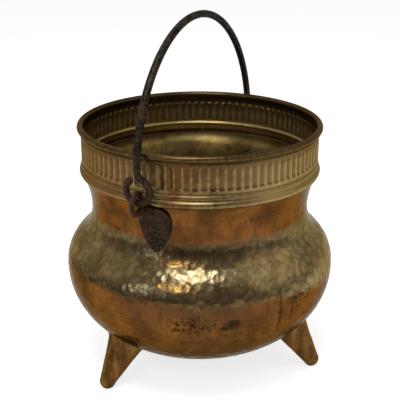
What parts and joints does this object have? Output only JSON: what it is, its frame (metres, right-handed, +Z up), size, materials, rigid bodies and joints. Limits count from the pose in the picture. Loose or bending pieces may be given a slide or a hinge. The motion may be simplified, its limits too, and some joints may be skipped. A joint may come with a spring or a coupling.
{
  "type": "coal bucket",
  "caption": "Footed brass coal bucket with a round hammered belly, a narrow neck, a fluted collar with a rolled rim and a wrought-iron bail linked to riveted lugs.",
  "frame": {"origin": "on the floor, under the axis of the pot and midway between the two lug eyes", "axes": "+Z up along the pot's axis; X along the line that the bail swings about, with the front lug at -X; Y across it"},
  "size_m": [0.3662, 0.3438, 0.4544],
  "materials": {
    "hammered_brass": "hammered and patinated",
    "pressed_brass": "pressed, old polish",
    "cast_brass": "cast, filed and patinated",
    "iron": "forged, dark with some rust"
  },
  "bodies": {
    "bucket": {"pot": "hammered_brass", "collar": "pressed_brass", "rim_wire": "iron", "foot_left": "cast_brass", "foot_right": "cast_brass", "foot_back": "cast_brass", "lug_front": "iron", "lug_rear": "iron", "rivets_front": "iron", "rivets_rear": "iron"},
    "bail": {"bail": "iron"}
  },
  "joints": [
    {"name": "bail_swing", "type": "hinge", "parent": "bucket", "child": "bail", "pos_m": [0, 0, 0.28227], "axis": [1, 0, 0], "range_deg": [-116.8, 120.2]}
  ]
}
